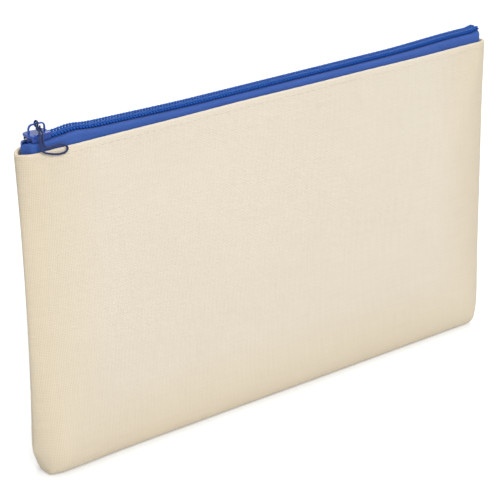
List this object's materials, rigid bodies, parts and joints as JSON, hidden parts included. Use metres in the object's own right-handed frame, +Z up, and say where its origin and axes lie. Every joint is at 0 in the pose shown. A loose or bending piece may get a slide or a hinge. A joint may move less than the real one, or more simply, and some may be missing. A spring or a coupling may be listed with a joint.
{
  "type": "pencil case",
  "caption": "Flat zipped pencil case in natural canvas with a blue coil zip along its top edge and a cord pull.",
  "frame": {"origin": "middle of the base, on the surface that the case stands on", "axes": "+X along the zip, from its closed end to its open end; +Y from the front panel to the back panel; +Z up"},
  "size_m": [0.22, 0.018, 0.1351],
  "materials": {
    "canvas": "plain woven cotton, unbleached",
    "zip_tape": "woven polyester tape, blue",
    "zip_coil": "nylon monofilament, blue",
    "filler_cord": "spun cord, blue",
    "slider": "gloss paint over a zinc casting, blue",
    "pull_cord": "braided cord, blue"
  },
  "bodies": {
    "front_half": {"front_panel": "canvas", "zip_tape_front": "zip_tape", "zip_coil_front": "zip_coil", "filler_cord_front": "filler_cord"},
    "back_half": {"back_panel": "canvas", "zip_tape_back": "zip_tape", "zip_coil_back": "zip_coil", "filler_cord_back": "filler_cord"},
    "slider": {"slider_body": "slider"},
    "pull": {"pull_cord": "pull_cord"}
  },
  "joints": [
    {"name": "slider_slide", "type": "slide", "parent": "front_half", "child": "slider", "axis": [1, 0, 0], "range_m": [0, 0.198], "deforming": ["zip_tape_front", "zip_tape_back", "zip_coil_front", "zip_coil_back", "filler_cord_front", "filler_cord_back"]},
    {"name": "mouth_open", "type": "hinge", "parent": "front_half", "child": "back_half", "pos_m": [0, 0.005, 0], "axis": [-1, 0, 0], "range_deg": [0, 8], "deforming": ["zip_tape_front", "zip_tape_back", "zip_coil_front", "zip_coil_back", "filler_cord_front", "filler_cord_back"]},
    {"name": "pull_swing", "type": "hinge", "parent": "slider", "child": "pull", "pos_m": [-0.101, 0, 0.13375], "axis": [-1, 0, 0], "range_deg": [0, 180]}
  ],
  "couplings": [
    {"joint": "mouth_open", "follows": "slider_slide", "rad_per_m": 0.705}
  ]
}
